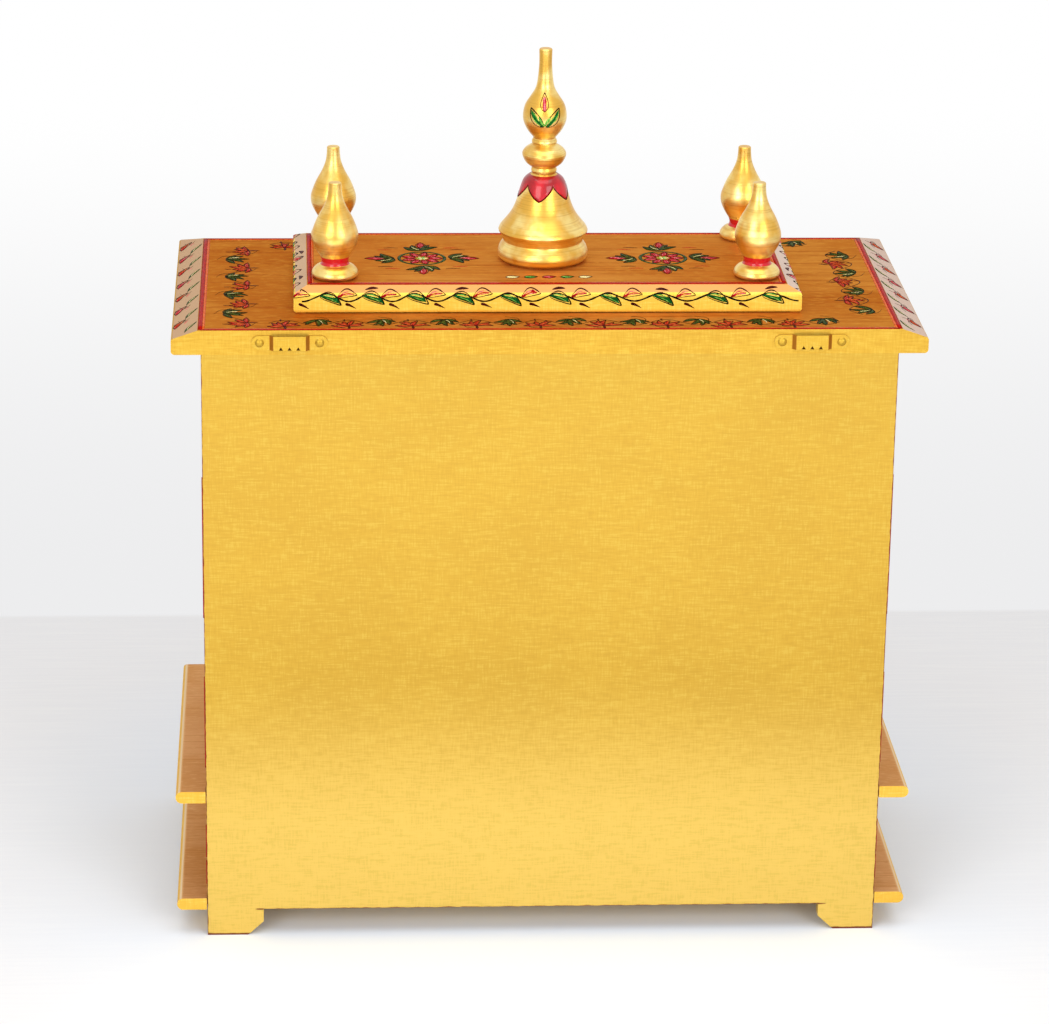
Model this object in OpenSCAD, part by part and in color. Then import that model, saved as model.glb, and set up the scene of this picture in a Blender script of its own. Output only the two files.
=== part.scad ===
// Small wooden household shrine: two base boards, an open chamber, a moulded
// roof board with a raised tier, and five turned finials.
// Front faces -Y, the back panel faces +Y, and the feet stand on Z = 0.

/* [Body] */
// Width of the shrine body across its side panels
body_w = 414.8; // [300:0.2:600]
// Depth of the base boards and roof, front nose to back face
body_d = 215; // [160:0.5:320]
// How far the base boards reach past the body at the sides and front
overhang = 18.7; // [12:0.1:30]
// Thickness of the upright boards
board_t = 8; // [5:0.5:12]
// Visible joint between the base boards and the back panel
joint_gap = 0.4; // [0.2:0.1:1]

/* [Base] */
// Height of the feet
foot_h = 17.3; // [12:0.1:30]
// Width of each foot along the board that it belongs to
foot_w = 34.7; // [20:0.1:50]
// Height of the slanted corner inside each foot
foot_chamfer_h = 9; // [4:0.1:11]
// Width of the slanted corner inside each foot
foot_chamfer_w = 9.6; // [4:0.1:12]
// Thickness of the two base boards
slab_t = 7.6; // [5:0.1:12]
// Clear height between the two base boards
base_h = 64; // [40:0.5:100]

/* [Chamber] */
// Clear height of the shrine chamber
chamber_h = 280.4; // [200:0.2:400]
// Side of the square plinths and capitals of the front columns
column_block = 26; // [22:0.5:32]
// Height of the column plinths
plinth_h = 30; // [15:0.5:45]
// Height of the column capitals
capital_h = 24; // [12:0.5:40]
// Largest radius of the turned column shafts
column_r = 10.5; // [8:0.1:10.8]
// Height of the arched panel between the columns
arch_h = 96; // [90:0.5:120]
// Width of the arched panel left at each springing
arch_leg = 12; // [8:0.5:20]
// Radius of each scallop of the arch
scallop_r = 36; // [34:0.5:40]
// Rise of the scallop centres from springing to crown
arch_rise = 46; // [30:0.5:50]

/* [Roof] */
// Thickness of the roof board
roof_t = 15; // [12:0.5:22]
// Width of the sloping bevel round the roof board
roof_bevel = 15.7; // [10:0.1:22]
// How far the bevel falls to the upright nose of the roof board
roof_drop = 4.8; // [3.5:0.1:6.5]
// Radius of the rounded corners of the nose
roof_nose = 2.3; // [1.5:0.1:4]
// How far the roof board reaches past the body at the sides
roof_overhang = 17.6; // [14:0.1:30]
// Width of the raised tier on the roof
tier_w = 305; // [220:0.5:380]
// Depth of the raised tier
tier_d = 130.3; // [100:0.1:170]
// Distance from the back face to the raised tier
tier_setback = 33.9; // [20:0.1:50]
// Thickness of the raised tier
tier_t = 15.5; // [12:0.1:22]
// Width of the bevel round the raised tier
tier_bevel = 8; // [5:0.1:12]
// How far the bevel falls to the upright nose of the raised tier
tier_drop = 2.3; // [1.5:0.1:5]
// Radius of the rounded corners of that nose
tier_nose = 2.6; // [1.5:0.1:4]

/* [Finials] */
// Height of the central finial
spire_h = 131.3; // [100:0.1:180]
// Height of the corner finials
knob_h = 58.6; // [40:0.1:80]
// Distance of the corner finials from the ends of the tier
knob_side_inset = 25; // [20:0.1:40]
// Distance of the back finials from the back of the tier
knob_back_inset = 25.7; // [20:0.1:40]
// Distance of the front finials from the front of the tier
knob_front_inset = 18.9; // [18:0.1:40]

/* [Hangers] */
// Distance of each wall hanger from the middle of the roof
hanger_x = 155; // [90:0.5:170]
// Length of each wall hanger
hanger_l = 45; // [36:0.5:50]
// Height of each wall hanger
hanger_h = 8.8; // [6:0.1:11]
// Sheet thickness of the wall hangers
hanger_t = 0.9; // [0.6:0.1:1.2]
// Length of the raised middle of each hanger
bridge_l = 18.5; // [16:0.5:26]
// How far the middle of each hanger stands off the wood
bridge_rise = 2; // [1.2:0.1:3]
// Diameter of the hanger nails
nail_d = 1.6; // [1.2:0.1:2]
// Diameter of the domed nail heads
nail_head_d = 5.4; // [3.5:0.1:6]
// Length of the nails below their heads
nail_l = 10; // [6:0.5:12]

/* [Hidden] */
$fn = 64;

// left is -X as seen from the front
left = -1;
right = 1;

// heights of the joints between the storeys
lower_z = foot_h;
base_z = lower_z + slab_t;
middle_z = base_z + base_h;
chamber_z = middle_z + slab_t;
roof_z = chamber_z + chamber_h;
tier_z = roof_z + roof_t;
deck_z = tier_z + tier_t;

// places along the depth, centred on the whole object with its hangers
hanger_out = bridge_rise + hanger_t;
back_y = (body_d - hanger_out) / 2;
front_y = back_y - body_d;
body_front_y = front_y + overhang;
inner_back_y = back_y - board_t;
tier_y = back_y - tier_setback - tier_d / 2;

slab_w = body_w + 2 * overhang;
roof_w = body_w + 2 * roof_overhang;
side_x = body_w / 2 - board_t / 2;
column_x = body_w / 2 - column_block / 2;
column_y = body_front_y + column_block / 2;
shaft_h = chamber_h - plinth_h - capital_h;
knob_x = tier_w / 2 - knob_side_inset;
knob_back_y = tier_y + tier_d / 2 - knob_back_inset;
knob_front_y = tier_y - tier_d / 2 + knob_front_inset;
hanger_z = roof_z + roof_t / 2;
nail_x = (hanger_l + bridge_l) / 4 + bridge_rise / 2 + hanger_t;
nail_clearance = 0.15;
cut = 1;
tooth_count = 4;
tooth_depth = 2.4;
scallop_count = 7;

gold = "#F0B93A";
deck_gold = "#B5741F";
bright_gold = "#E9A92A";
brass = "#D9A520";

// points of a smooth line through p, with steps points for each stretch
function blend(a, b, c, d, t) =
    0.5 * (2 * b + (c - a) * t + (2 * a - 5 * b + 4 * c - d) * t * t + (3 * b - a - 3 * c + d) * t * t * t);
function smooth(p, steps = 4) = [
    for (i = [0 : len(p) - 2])
        for (k = [0 : steps - 1])
            blend(p[max(i - 1, 0)], p[i], p[i + 1], p[min(i + 2, len(p) - 1)], k / steps),
    p[len(p) - 1]
];

// turned solid: runs of [radius, height] points, each smooth, with creases between runs
module turned(runs) {
    outline = [for (run = runs) each smooth(run)];
    top = outline[len(outline) - 1][1];
    rotate_extrude()
        polygon(concat([[0, outline[0][1]]], outline, [[0, top]]));
}

// cross-section of a board whose edges slope to an upright nose with rounded corners
module board_section(w, t, bevel, nose, nose_h, square_end) {
    peak = nose_h - nose;
    reach = norm([bevel - nose, t - peak]);
    lean = atan2(t - peak, bevel - nose) + acos(nose / reach);
    tangent = [nose + nose * cos(lean), peak + nose * sin(lean)];
    near_edge = [[-w / 2 + bevel, t], [-w / 2 + tangent[0], tangent[1]], [-w / 2 + nose, peak], [-w / 2 + nose, 0]];
    far_edge = square_end
        ? [[w / 2, 0], [w / 2, t]]
        : [[w / 2 - nose, 0], [w / 2 - nose, peak], [w / 2 - tangent[0], tangent[1]], [w / 2 - bevel, t]];
    polygon(concat(near_edge, far_edge));
    for (end = square_end ? [left] : [left, right])
        translate([end * (w / 2 - nose), 0]) {
            translate([0, nose])
                circle(r = nose);
            if (peak > nose) {
                translate([0, peak])
                    circle(r = nose);
                translate([-nose, nose])
                    square([2 * nose, peak - nose]);
            }
        }
}

// board lying flat, centred on X and Y, moulded on its front and ends
module moulded_board(w, d, t, bevel, nose, nose_h, square_back) {
    intersection() {
        translate([0, d / 2, 0])
            rotate([90, 0, 0])
                linear_extrude(d)
                    board_section(w, t, bevel, nose, nose_h, false);
        translate([-w / 2, 0, 0])
            rotate([90, 0, 90])
                linear_extrude(w)
                    board_section(d, t, bevel, nose, nose_h, square_back);
    }
}

// upright board in the XZ plane, its outline at y and its thickness towards the front
module upright(y, t) {
    translate([0, y, 0])
        rotate([90, 0, 0])
            linear_extrude(t)
                children();
}

// outline of one foot from start inwards, its outer corner on x = 0 and its slanted corner inside
module foot_outline(start = 0) {
    polygon([
        [start, 0], [foot_w - foot_chamfer_w, 0], [foot_w, foot_chamfer_h], [foot_w, foot_h], [start, foot_h]
    ]);
}

// upright board over the whole back, cut away between its two feet
module back_panel() {
    gap_w = body_w - 2 * foot_w;
    mouth_w = gap_w + 2 * foot_chamfer_w;
    color(gold)
        upright(back_y, board_t)
            difference() {
                translate([-body_w / 2, 0])
                    square([body_w, roof_z]);
                polygon([
                    [-mouth_w / 2, -cut], [-mouth_w / 2, 0], [-gap_w / 2, foot_chamfer_h], [-gap_w / 2, foot_h],
                    [gap_w / 2, foot_h], [gap_w / 2, foot_chamfer_h], [mouth_w / 2, 0], [mouth_w / 2, -cut]
                ]);
            }
}

// base board with its back edge let in beside the back panel
module slab(z) {
    color(bright_gold)
        translate([0, 0, z])
            difference() {
                translate([0, (back_y + front_y) / 2, 0])
                    moulded_board(slab_w, body_d, slab_t, slab_t / 2, slab_t / 2, slab_t, true);
                translate([-body_w / 2 - joint_gap, inner_back_y, -cut])
                    cube([body_w + 2 * joint_gap, board_t + cut, slab_t + 2 * cut]);
            }
}

module lower_slab() {
    slab(lower_z);
}

module middle_slab() {
    slab(middle_z);
}

// side board from the back panel to front_end
module side_board(side, z, h, front_end) {
    color(gold)
        translate([side * side_x - board_t / 2, front_end, z])
            cube([board_t, inner_back_y - front_end, h]);
}

module base_side(side) {
    side_board(side, base_z, base_h, body_front_y + board_t);
}

module base_front_panel() {
    color(gold)
        translate([-body_w / 2, body_front_y, base_z])
            cube([body_w, board_t, base_h]);
}

// foot board under a front corner, along the front
module front_foot(side) {
    color(gold)
        upright(body_front_y + board_t, board_t)
            translate([side * body_w / 2, 0])
                mirror([side > 0 ? 1 : 0, 0])
                    foot_outline();
}

// foot board along the side, butted against the front foot or the back panel at corner_y
module foot_return(side, corner_y, is_back) {
    color(gold)
        translate([side * side_x - board_t / 2, corner_y, 0])
            rotate([90, 0, 90])
                linear_extrude(board_t)
                    mirror([is_back ? 1 : 0, 0])
                        foot_outline(board_t);
}

module side_panel(side) {
    side_board(side, chamber_z, chamber_h, column_y + column_block / 2);
}

module column_base(side) {
    color(gold)
        translate([side * column_x - column_block / 2, column_y - column_block / 2, chamber_z])
            cube([column_block, column_block, plinth_h]);
}

module column_cap(side) {
    color(gold)
        translate([side * column_x - column_block / 2, column_y - column_block / 2, roof_z - capital_h])
            cube([column_block, column_block, capital_h]);
}

// turned shaft: bead and vase below, long taper, bead and bell above
module column_shaft(side) {
    foot_bead = 5;
    vase = 52;
    top_bead = 5;
    bell = 30;
    waist = column_r - 5;
    taper = column_r - 2.5;
    color(bright_gold)
        translate([side * column_x, column_y, chamber_z + plinth_h])
            turned([
                [[column_r - 1, 0], [column_r, foot_bead / 2], [column_r - 1, foot_bead]],
                [[waist, foot_bead + 2], [waist + 2.5, foot_bead + 12], [column_r - 0.3, foot_bead + 30],
                    [waist + 2, vase], [waist, vase + 6]],
                [[taper, vase + 8], [taper + 0.8, vase + 11], [taper, vase + 14]],
                [[taper - 1.2, vase + 15], [taper - 0.6, vase + 50], [waist, shaft_h - bell - 8]],
                [[taper - 1, shaft_h - bell - 7], [taper - 0.3, shaft_h - bell - 4.5], [taper - 1, shaft_h - bell - 2]],
                [[waist, shaft_h - bell], [waist + 1, shaft_h - bell + 10], [column_r - 1.5, shaft_h - top_bead - 1]],
                [[column_r - 1, shaft_h - top_bead], [column_r, shaft_h - top_bead / 2], [column_r - 1, shaft_h]]
            ]);
}

// panel with a scalloped arch, between the capitals and under the roof
module arch_panel() {
    panel_w = 2 * column_x - column_block;
    reach = panel_w / 2 - arch_leg - scallop_r;
    foot_z = roof_z - arch_h;
    centres = [for (i = [0 : scallop_count - 1]) let (a = i * 180 / (scallop_count - 1))
        [reach * cos(a), arch_rise * sin(a)]];
    color(gold)
        upright(column_y + board_t / 2, board_t)
            translate([0, foot_z])
                difference() {
                    translate([-panel_w / 2, 0])
                        square([panel_w, arch_h]);
                    polygon(centres);
                    for (c = centres)
                        translate(c)
                            circle(r = scallop_r);
                }
}

module roof_slab() {
    color(deck_gold)
        difference() {
            translate([0, (back_y + front_y) / 2, roof_z])
                moulded_board(roof_w, body_d, roof_t, roof_bevel, roof_nose, roof_t - roof_drop, true);
            for (side = [left, right])
                nail_places(side)
                    cylinder(d = nail_d + 2 * nail_clearance, h = nail_l + cut);
        }
}

module upper_tier() {
    color(bright_gold)
        translate([0, tier_y, tier_z])
            moulded_board(tier_w, tier_d, tier_t, tier_bevel, tier_nose, tier_t - tier_drop, false);
}

// bell-shaped foot, disc, ball and spout, one above the other
module central_finial() {
    k = spire_h / 131.3;
    color(bright_gold)
        translate([0, tier_y, deck_z])
            scale(k)
                turned([
                    [[24.5, 0], [27, 2], [27.7, 5], [26.6, 8.6], [24.6, 11.6]],
                    [[24.3, 12.4], [25, 15], [27.1, 18]],
                    [[27.3, 18.8], [26.2, 21.2], [23.4, 24.6], [20, 29.2], [17.4, 34.5], [15.6, 40],
                        [14, 45.5], [12.3, 50], [9.8, 52.6], [7.8, 53.6]],
                    [[7.2, 54.2], [7.8, 56], [7.4, 58]],
                    [[8.2, 58.6], [11.4, 61.4], [13.4, 66.2], [11.6, 69.6], [8, 72]],
                    [[7.3, 72.4], [7.7, 74.2], [6.8, 76.2]],
                    [[7, 77], [10.4, 81.2], [12.9, 86.6], [13.2, 91.5], [11.9, 97], [8.8, 102], [5.9, 107],
                        [4.7, 112.5], [3.9, 122], [4, 130.7]],
                    [[3.5, 131.3], [3, 131.3]]
                ]);
}

// domed foot, narrow neck and pear-shaped knob
module corner_finial(side, y) {
    k = knob_h / 58.6;
    color(bright_gold)
        translate([side * knob_x, y, deck_z])
            scale(k)
                turned([
                    [[11.6, 0], [13.9, 1.8], [13.6, 4.4], [11.6, 6.8], [9.4, 8]],
                    [[8.7, 8.4], [8.1, 10.3], [8.7, 13.2]],
                    [[8.9, 13.6], [11.4, 17.6], [13.6, 22.6], [14, 27], [13, 31], [10.6, 37], [7.2, 43.2],
                        [4.9, 49], [4.1, 54], [3.9, 58.1]],
                    [[3.5, 58.6], [3, 58.6]]
                ]);
}

// the two nail places of a hanger, drilled inwards from the back face
module nail_places(side) {
    for (end = [left, right])
        translate([side * hanger_x + end * nail_x, back_y, hanger_z])
            rotate([90, 0, 0])
                children();
}

// sheet-metal wall hanger: round flat ears, a raised middle and a toothed lower edge
module hanger(side) {
    foot_l = bridge_l / 2 + bridge_rise;
    pitch = (bridge_l + bridge_rise) / tooth_count;
    color(brass)
        difference() {
            intersection() {
                translate([side * hanger_x, back_y, hanger_z - hanger_h / 2])
                    linear_extrude(hanger_h)
                        polygon([
                            [-hanger_l / 2, 0], [-foot_l, 0], [-bridge_l / 2, bridge_rise],
                            [bridge_l / 2, bridge_rise], [foot_l, 0], [hanger_l / 2, 0],
                            [hanger_l / 2, hanger_t], [foot_l + hanger_t / 2, hanger_t],
                            [bridge_l / 2 + hanger_t / 2, hanger_out], [-bridge_l / 2 - hanger_t / 2, hanger_out],
                            [-foot_l - hanger_t / 2, hanger_t], [-hanger_l / 2, hanger_t]
                        ]);
                translate([side * hanger_x, back_y - cut, hanger_z])
                    rotate([-90, 0, 0])
                        linear_extrude(hanger_out + 2 * cut) {
                            square([hanger_l - hanger_h, hanger_h], center = true);
                            for (end = [left, right])
                                translate([end * (hanger_l - hanger_h) / 2, 0])
                                    circle(d = hanger_h);
                        }
            }
            nail_places(side)
                translate([0, 0, -hanger_out])
                    cylinder(d = nail_d + 2 * nail_clearance, h = 2 * hanger_out);
            for (i = [1 : tooth_count - 1])
                translate([side * hanger_x + (i - tooth_count / 2) * pitch, back_y - cut, hanger_z - hanger_h / 2])
                    rotate([-90, 0, 0])
                        linear_extrude(hanger_out + 2 * cut)
                            polygon([[-pitch / 2.6, cut], [pitch / 2.6, cut], [0, -tooth_depth]]);
        }
}

// nails with low domed heads, each seated on an ear of the hanger
module hanger_nails(side) {
    dome_h = nail_head_d / 4;
    dome_r = (nail_head_d * nail_head_d / 4 + dome_h * dome_h) / (2 * dome_h);
    color(brass)
        nail_places(side) {
            translate([0, 0, -hanger_t])
                cylinder(d = nail_d, h = nail_l + hanger_t);
            translate([0, 0, -hanger_t])
                intersection() {
                    translate([0, 0, dome_r - dome_h])
                        sphere(r = dome_r);
                    translate([0, 0, -dome_h])
                        cylinder(d = nail_head_d, h = dome_h);
                }
        }
}

back_panel();
lower_slab();
middle_slab();
base_side(left);  // base_side_left
base_side(right);  // base_side_right
base_front_panel();
front_foot(left);  // front_foot_left
front_foot(right);  // front_foot_right
foot_return(left, body_front_y, false);  // front_return_left
foot_return(right, body_front_y, false);  // front_return_right
foot_return(left, back_y, true);  // rear_return_left
foot_return(right, back_y, true);  // rear_return_right
side_panel(left);  // side_panel_left
side_panel(right);  // side_panel_right
column_base(left);  // plinth_left
column_base(right);  // plinth_right
column_shaft(left);  // column_left
column_shaft(right);  // column_right
column_cap(left);  // capital_left
column_cap(right);  // capital_right
arch_panel();
roof_slab();
upper_tier();
central_finial();
corner_finial(left, knob_back_y);  // finial_back_left
corner_finial(right, knob_back_y);  // finial_back_right
corner_finial(left, knob_front_y);  // finial_front_left
corner_finial(right, knob_front_y);  // finial_front_right
hanger(left);  // hanger_left
hanger(right);  // hanger_right
hanger_nails(left);  // hanger_nails_left
hanger_nails(right);  // hanger_nails_right
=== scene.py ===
import math
import random

import bpy
from mathutils import Matrix, Vector
from mathutils.bvhtree import BVHTree


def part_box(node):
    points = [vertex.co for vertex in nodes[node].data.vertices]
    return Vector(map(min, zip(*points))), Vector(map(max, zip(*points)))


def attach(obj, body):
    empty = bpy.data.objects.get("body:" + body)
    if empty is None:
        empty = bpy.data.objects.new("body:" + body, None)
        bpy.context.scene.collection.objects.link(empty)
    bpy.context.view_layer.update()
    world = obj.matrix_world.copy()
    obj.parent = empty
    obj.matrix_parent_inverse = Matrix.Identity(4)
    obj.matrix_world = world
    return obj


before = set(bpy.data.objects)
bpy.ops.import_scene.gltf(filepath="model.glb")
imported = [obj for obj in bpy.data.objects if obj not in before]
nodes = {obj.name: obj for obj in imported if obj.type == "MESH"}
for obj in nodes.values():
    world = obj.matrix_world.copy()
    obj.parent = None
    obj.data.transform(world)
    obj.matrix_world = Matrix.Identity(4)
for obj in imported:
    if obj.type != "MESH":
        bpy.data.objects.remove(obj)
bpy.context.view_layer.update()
scene = bpy.context.scene
mm = 0.001
print("frame loaded:", len(nodes), "pieces")


# ---- small helpers

def hexColour(text):
    # sRGB hex to the linear colour that the shaders take
    parts = [int(text[i:i + 2], 16) / 255 for i in (1, 3, 5)]
    linear = [c / 12.92 if c <= 0.04045 else ((c + 0.055) / 1.055) ** 2.4 for c in parts]
    return (*linear, 1.0)


def addNode(tree, kind, settings=None, inputs=None):
    # an input takes a plain value, a socket, or an earlier node, whose first live output it uses
    node = tree.nodes.new("ShaderNode" + kind)
    for name, value in (settings or {}).items():
        setattr(node, name, value)
    for name, value in (inputs or {}).items():
        if isinstance(value, bpy.types.Node):
            value = next(socket for socket in value.outputs if socket.enabled)
        if isinstance(value, bpy.types.NodeSocket):
            tree.links.new(value, node.inputs[name])
        else:
            node.inputs[name].default_value = value
    return node


# settings that several nodes share
smooth = {"interpolation_type": "SMOOTHSTEP"}
inColour = {"data_type": "RGBA"}
plus, minus, times = {"operation": "ADD"}, {"operation": "SUBTRACT"}, {"operation": "MULTIPLY"}
larger, unsigned = {"operation": "MAXIMUM"}, {"operation": "ABSOLUTE"}


def newMaterial(name):
    material = bpy.data.materials.new(name)
    material.use_nodes = True
    tree = material.node_tree
    tree.nodes.clear()
    output = addNode(tree, "OutputMaterial")
    return material, tree, output


def brushGrain(tree, place, perMetre, detail=2.0, roughness=0.5):
    # uneven traces of a brush or tool, so many per metre along X, Y and Z
    stretched = addNode(tree, "Mapping", None, {"Vector": place, "Scale": perMetre})
    return addNode(tree, "TexNoise", None, {"Vector": stretched, "Scale": 1.0, "Detail": detail,
                                            "Roughness": roughness})


def glaze(tree, under, over, pattern, bare, full, cover=1.0):
    # brushes one colour over another: none where the pattern is at bare, all the cover at full
    under, over = (hexColour(colour) if isinstance(colour, str) else colour for colour in (under, over))
    amount = addNode(tree, "MapRange", smooth, {"Value": pattern, "From Min": bare, "From Max": full,
                                                "To Max": cover})
    return addNode(tree, "Mix", inColour, {0: amount, 6: under, 7: over})


def giveMaterial(names, material):
    for name in names:
        slots = nodes[name].data.materials
        slots.clear()
        slots.append(material)


# ---- camera

cameraView = {
    "place": (0.15387, 0.10605 + 2.33744, 1.11001),  # metres, behind the shrine
    "yaw": 3.41, "pitch": 19.57, "roll": 0.87,       # degrees
    "lens": 141.98, "sensor": 36.0,
}


def makeCamera(view):
    yaw, pitch, roll = (math.radians(view[k]) for k in ("yaw", "pitch", "roll"))
    forward = Vector((-math.sin(yaw) * math.cos(pitch), -math.cos(yaw) * math.cos(pitch), -math.sin(pitch)))
    level = Vector((-math.cos(yaw), math.sin(yaw), 0))
    upright = level.cross(forward)
    right = math.cos(roll) * level + math.sin(roll) * upright
    up = -math.sin(roll) * level + math.cos(roll) * upright
    data = bpy.data.cameras.new("viewCamera")
    data.lens, data.sensor_width, data.sensor_fit = view["lens"], view["sensor"], "HORIZONTAL"
    data.clip_start, data.clip_end = 0.05, 60
    camera = bpy.data.objects.new("viewCamera", data)
    scene.collection.objects.link(camera)
    turn = Matrix((right, up, -forward)).transposed().to_4x4()
    camera.matrix_world = Matrix.Translation(view["place"]) @ turn
    scene.camera = camera


makeCamera(cameraView)
print("camera placed")


# ---- floor, light and background

studio = {
    "floorSize": 14.0,
    "floorColour": "#EDEBEA", "floorShade": "#EAE8E8",
    "coolColour": "#EDF5FF", "coolReach": 0.46,   # painted cool tint near the shrine, to cancel the warm light bounced off its gold paint
    "backdropStart": -0.447,      # where the floor meets the sweep behind the shrine
    "backdropLow": "#EDEDEE", "backdropHigh": "#FFFFFF",
    "worldLight": 0.62, "worldSeen": 0.96,
    "softboxes": [
        # name, place, aimed at, width, height, watts
        ("keyLeft", (1.35, 2.3, 1.25), (0, 0, 0.15), 1.3, 1.3, 24),
        ("keyRight", (-1.25, 2.5, 1.25), (0, 0, 0.15), 1.3, 1.3, 25.5),
        ("overhead", (0.0, 0.5, 2.4), (0, 0.1, 0.0), 2.2, 1.8, 24),
        ("lowFill", (0.05, 0.85, 0.1), (0, 0.1, 0.0), 1.1, 0.18, 1.6),
    ],
}


def seenDirectly(tree):
    # 1 for what the camera, gloss and glass see, and 0 for what lights the shrine
    path = addNode(tree, "LightPath")
    plain = addNode(tree, "Math", larger, {0: path.outputs["Is Camera Ray"], 1: path.outputs["Is Glossy Ray"]})
    return addNode(tree, "Math", larger, {0: plain, 1: path.outputs["Is Transmission Ray"]})


def makeFloor(spec):
    half = spec["floorSize"] / 2
    mesh = bpy.data.meshes.new("studioFloor")
    corners = [(-half, -half, 0), (half, -half, 0), (half, half, 0), (-half, half, 0)]
    mesh.from_pydata(corners, [], [(0, 1, 2, 3)])
    floor = bpy.data.objects.new("studioFloor", mesh)
    scene.collection.objects.link(floor)
    # matt white paint on a board: faint brush marks, and it keeps the soft shadow
    material, tree, output = newMaterial("mattWhiteFloor")
    place = addNode(tree, "NewGeometry").outputs["Position"]
    strokes = brushGrain(tree, place, (14, 300, 1), 3)
    tone = glaze(tree, spec["floorShade"], spec["floorColour"], strokes, 0.35, 0.75)
    reach = addNode(tree, "VectorMath", {"operation": "LENGTH"}, {"Vector": place}).outputs["Value"]
    # painted cool tint near the shrine, cancelling the warm light bounced off its gold
    tone = glaze(tree, tone, spec["coolColour"], reach, spec["coolReach"], 0.12)
    paint = addNode(tree, "BsdfDiffuse", None, {"Color": tone})
    depth = addNode(tree, "SeparateXYZ", None, {"Vector": place}).outputs["Y"]
    start = spec["backdropStart"]
    sweep = glaze(tree, spec["backdropLow"], spec["backdropHigh"], depth, start, start - 1.6)
    glow = addNode(tree, "Emission", None, {"Color": sweep})
    behind = addNode(tree, "MapRange", smooth, {"Value": depth, "From Min": start + 0.004,
                                                "From Max": start - 0.004, "To Max": seenDirectly(tree)})
    mix = addNode(tree, "MixShader", None, {0: behind, 1: paint, 2: glow})
    tree.links.new(mix.outputs[0], output.inputs["Surface"])
    mesh.materials.append(material)


def makeWorld(spec):
    world = bpy.data.worlds.new("studioWorld")
    scene.world = world
    world.use_nodes = True
    tree = world.node_tree
    tree.nodes.clear()
    white = addNode(tree, "Background", None, {"Color": (1, 1, 1, 1), "Strength": spec["worldSeen"]})
    soft = addNode(tree, "Background", None, {"Color": (0.96, 0.98, 1, 1), "Strength": spec["worldLight"]})
    mix = addNode(tree, "MixShader", None, {0: seenDirectly(tree), 1: soft, 2: white})
    output = addNode(tree, "OutputWorld")
    tree.links.new(mix.outputs[0], output.inputs["Surface"])


def makeLights(spec):
    for name, place, aim, width, height, watts in spec["softboxes"]:
        data = bpy.data.lights.new(name, "AREA")
        data.shape, data.size, data.size_y, data.energy = "RECTANGLE", width, height, watts
        lamp = bpy.data.objects.new(name, data)
        scene.collection.objects.link(lamp)
        lamp.location = place
        lamp.rotation_mode = "QUATERNION"
        lamp.rotation_quaternion = (Vector(aim) - Vector(place)).to_track_quat("-Z", "Y")


makeFloor(studio)
makeWorld(studio)
makeLights(studio)
scene.view_settings.view_transform = "Standard"
print("studio lit")


# ---- finishes

# Metallic gold paint, brushed over primed board. The mica in it gives a soft gold sheen,
# the bristles and the primer's cloth-like tooth leave crossed lines about 1 mm apart,
# and thin places show as cloudy, browner patches.
goldPaint = {
    "colour": "#BC952C", "thin": "#AE8622", "light": "#C8AA46",
    "metallic": 0.55, "roughness": 0.42,
    "lineSpacing": 1.0, "cloudSize": 90, "cloudiness": 0.3, "reliefMm": 0.05,
}


def wovenPaint(tree, place, spec):
    # crossed brush lines and clouds: returns (line pattern, cloud pattern)
    fine = 1000 / spec["lineSpacing"]
    across = brushGrain(tree, place, (fine * 0.11, fine * 0.11, fine), 2)
    along = brushGrain(tree, place, (fine, fine, fine * 0.11), 2)
    lines = addNode(tree, "Mix", None, {0: 0.45, 2: across, 3: along})
    cloud = 1000 / spec["cloudSize"]
    clouds = brushGrain(tree, place, (cloud, cloud, cloud * 1.4), 4, 0.6)
    return lines, clouds


def finishPaint(tree, output, spec, colour, lines, metallic=None):
    relief = addNode(tree, "Bump", None, {"Strength": 0.6, "Distance": spec["reliefMm"] * mm, "Height": lines})
    rough = addNode(tree, "MapRange", None, {"Value": lines, "From Min": 0.3, "From Max": 0.7,
                                             "To Min": spec["roughness"] - 0.06,
                                             "To Max": spec["roughness"] + 0.08})
    shader = addNode(tree, "BsdfPrincipled", None, {
        "Base Color": colour, "Roughness": rough, "Normal": relief,
        "Metallic": spec["metallic"] if metallic is None else metallic,
        "Specular Tint": hexColour(spec.get("edgeTint", "#FFFFFF"))})
    tree.links.new(shader.outputs[0], output.inputs["Surface"])


def goldColour(tree, place, spec):
    lines, clouds = wovenPaint(tree, place, spec)
    tone = glaze(tree, spec["colour"], spec["thin"], clouds, 0.62, 0.36, spec["cloudiness"])
    tone = glaze(tree, tone, spec["light"], lines, 0.5, 0.64, 0.5)
    tone = glaze(tree, tone, spec["thin"], lines, 0.5, 0.36, 0.5)
    return tone, lines


def makeGoldPaint(name):
    material, tree, output = newMaterial(name)
    place = addNode(tree, "NewGeometry").outputs["Position"]
    colour, lines = goldColour(tree, place, goldPaint)
    finishPaint(tree, output, goldPaint, colour, lines)
    return material


# The same paint, darkened to a ragged red-brown along the sides, at the bottom of the feet and along the lower
# edge between the feet, with painted light making it paler low down.
panelEdgesAndLowLight = {
    "edgeMm": 0.9, "footMm": 1.6, "lowerEdgeMm": 0.5, "raggedMm": 1.6, "wood": "#6E2E14",
    "pale": "#DDB959", "paleFrom": 180, "paleTo": 60,  # painted light: paler low down, where the panel reflects the bright floor, in mm of height
}


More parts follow.
